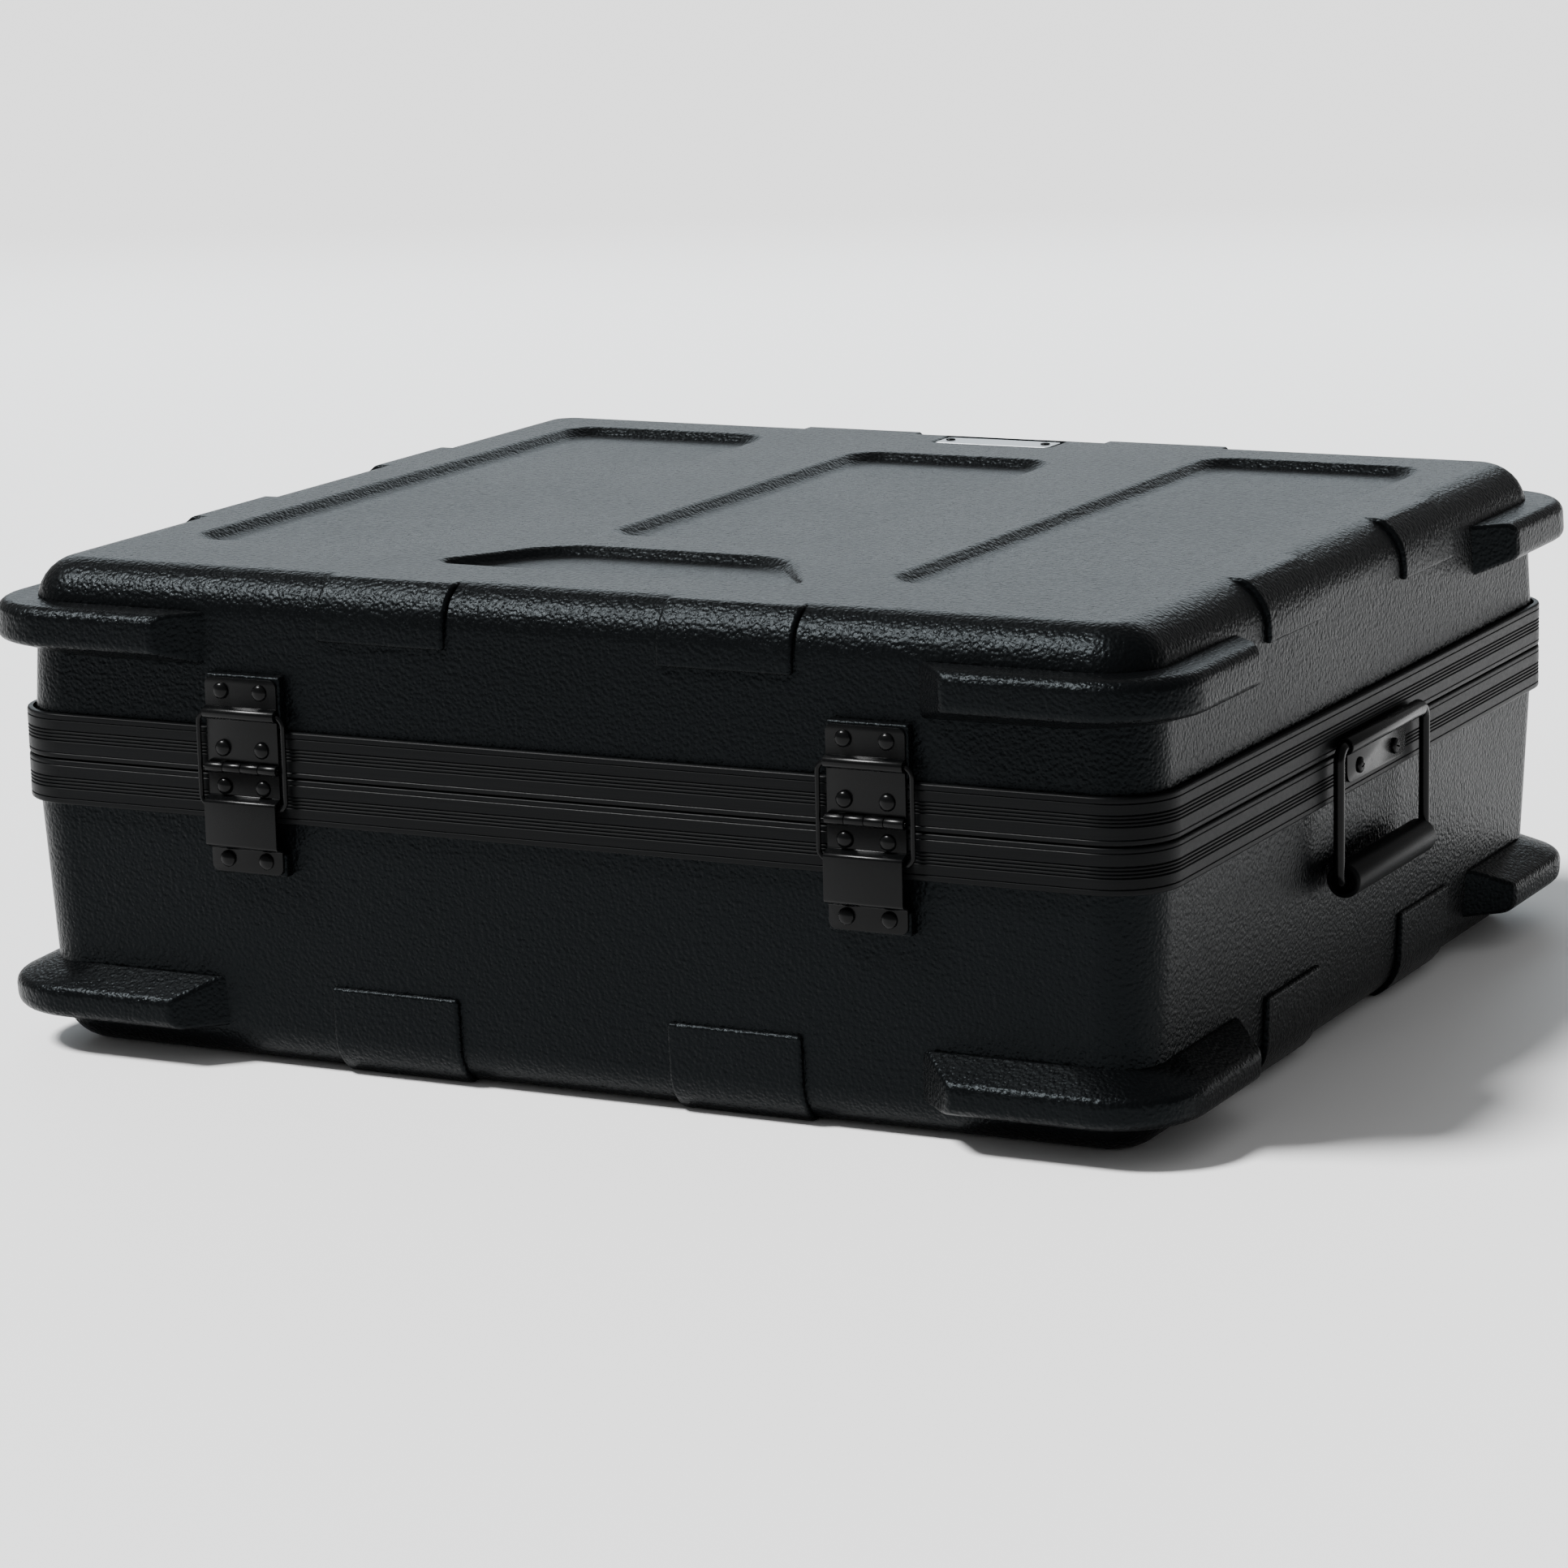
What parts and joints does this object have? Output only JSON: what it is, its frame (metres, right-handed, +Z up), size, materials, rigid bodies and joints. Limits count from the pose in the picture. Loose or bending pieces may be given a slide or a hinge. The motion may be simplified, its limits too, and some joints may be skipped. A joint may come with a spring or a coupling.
{
  "type": "equipment rack case",
  "caption": "Moulded hinged case for rack gear: lid and base edged with aluminium valances, lid-stay hinges, drop handles, draw latches, corner bumpers and an inner rack frame.",
  "frame": {"origin": "centre of the rectangle the case covers, on the surface it stands on", "axes": "+X along the hinge side, +Y towards the hinges (back), -Y the latch side (front), +Z up"},
  "size_m": [0.72, 0.6578, 0.2761],
  "materials": {
    "shell": "leather grain, satin",
    "valance": "black anodised, satin",
    "hardware": "black, semi-gloss",
    "grip": "moulded, satin",
    "foam": "charcoal foam",
    "rack": "black powder coat",
    "label": "blank, brushed"
  },
  "bodies": {
    "base": {"base_floor_foam": "foam", "base_shell": "shell", "base_valance": "valance", "base_wall_foam": "foam", "handle_front_bracket": "hardware", "handle_front_screws": "hardware", "handle_left_bracket": "hardware", "handle_left_screws": "hardware", "handle_right_bracket": "hardware", "handle_right_screws": "hardware", "hinge_left_base_leaf": "hardware", "hinge_left_base_rivets": "hardware", "hinge_left_pin": "hardware", "hinge_right_base_leaf": "hardware", "hinge_right_base_rivets": "hardware", "hinge_right_pin": "hardware", "latch_left_plate": "hardware", "latch_left_plate_rivets": "hardware", "latch_right_plate": "hardware", "latch_right_plate_rivets": "hardware", "rack_frame_front": "rack", "rack_frame_rear": "rack", "rack_rail_left": "rack", "rack_rail_right": "rack", "rack_screw_left_front": "hardware", "rack_screw_left_rear": "hardware", "rack_screw_right_front": "hardware", "rack_screw_right_rear": "hardware"},
    "lid": {"hinge_left_lid_leaf": "hardware", "hinge_left_lid_rivets": "hardware", "hinge_right_lid_leaf": "hardware", "hinge_right_lid_rivets": "hardware", "label_plate": "label", "label_rivet_left": "hardware", "label_rivet_right": "hardware", "latch_left_keeper": "hardware", "latch_left_keeper_rivets": "hardware", "latch_right_keeper": "hardware", "latch_right_keeper_rivets": "hardware", "lid_foam": "foam", "lid_shell": "shell", "lid_valance": "valance"},
    "handle_front": {"handle_front_bail": "hardware", "handle_front_grip": "grip"},
    "handle_left": {"handle_left_bail": "hardware", "handle_left_grip": "grip"},
    "handle_right": {"handle_right_bail": "hardware", "handle_right_grip": "grip"},
    "stay_left": {"hinge_left_stay": "hardware"},
    "stay_right": {"hinge_right_stay": "hardware"},
    "latch_left_hook": {"latch_left_hook": "hardware"},
    "latch_left_lever": {"latch_left_lever": "hardware"},
    "latch_left_lock": {"latch_left_lock": "hardware"},
    "latch_right_hook": {"latch_right_hook": "hardware"},
    "latch_right_lever": {"latch_right_lever": "hardware"},
    "latch_right_lock": {"latch_right_lock": "hardware"}
  },
  "joints": [
    {"name": "lid_hinge", "type": "hinge", "parent": "base", "child": "lid", "pos_m": [0, 0.3162, 0.1702], "axis": [-1, 0, 0], "range_deg": [0, 90]},
    {"name": "stay_left_swing", "type": "hinge", "parent": "lid", "child": "stay_left", "pos_m": [-0.187, 0.316, 0.2], "axis": [-1, 0, 0], "range_deg": [-44.55, 0]},
    {"name": "stay_right_swing", "type": "hinge", "parent": "lid", "child": "stay_right", "pos_m": [0.187, 0.316, 0.2], "axis": [-1, 0, 0], "range_deg": [-44.55, 0]},
    {"name": "latch_left_lever", "type": "hinge", "parent": "base", "child": "latch_left_lever", "pos_m": [-0.187, -0.3216, 0.158], "axis": [-1, 0, 0], "range_deg": [0, 95]},
    {"name": "latch_left_hook", "type": "hinge", "parent": "latch_left_lever", "child": "latch_left_hook", "pos_m": [-0.187, -0.3244, 0.146], "axis": [-1, 0, 0], "range_deg": [-104.5, 0]},
    {"name": "latch_left_key", "type": "hinge", "parent": "latch_left_lever", "child": "latch_left_lock", "pos_m": [-0.187, -0.3272, 0.125], "axis": [0, -1, 0], "range_deg": [0, 90]},
    {"name": "latch_right_lever", "type": "hinge", "parent": "base", "child": "latch_right_lever", "pos_m": [0.187, -0.3216, 0.158], "axis": [-1, 0, 0], "range_deg": [0, 95]},
    {"name": "latch_right_hook", "type": "hinge", "parent": "latch_right_lever", "child": "latch_right_hook", "pos_m": [0.187, -0.3244, 0.146], "axis": [-1, 0, 0], "range_deg": [-104.5, 0]},
    {"name": "latch_right_key", "type": "hinge", "parent": "latch_right_lever", "child": "latch_right_lock", "pos_m": [0.187, -0.3272, 0.125], "axis": [0, -1, 0], "range_deg": [0, 90]},
    {"name": "handle_left_swing", "type": "hinge", "parent": "base", "child": "handle_left", "pos_m": [-0.3502, 0, 0.1705], "axis": [0, 1, 0], "range_deg": [0, 90]},
    {"name": "handle_right_swing", "type": "hinge", "parent": "base", "child": "handle_right", "pos_m": [0.3502, 0, 0.1705], "axis": [0, -1, 0], "range_deg": [0, 90]},
    {"name": "handle_front_swing", "type": "hinge", "parent": "base", "child": "handle_front", "pos_m": [0, -0.3182, 0.1705], "axis": [-1, 0, 0], "range_deg": [0, 90]}
  ],
  "couplings": [
    {"joint": "stay_left_swing", "follows": "lid_hinge", "ratio": -0.495},
    {"joint": "stay_right_swing", "follows": "lid_hinge", "ratio": -0.495},
    {"joint": "latch_left_hook", "follows": "latch_left_lever", "ratio": -1.1},
    {"joint": "latch_right_hook", "follows": "latch_right_lever", "ratio": -1.1}
  ]
}
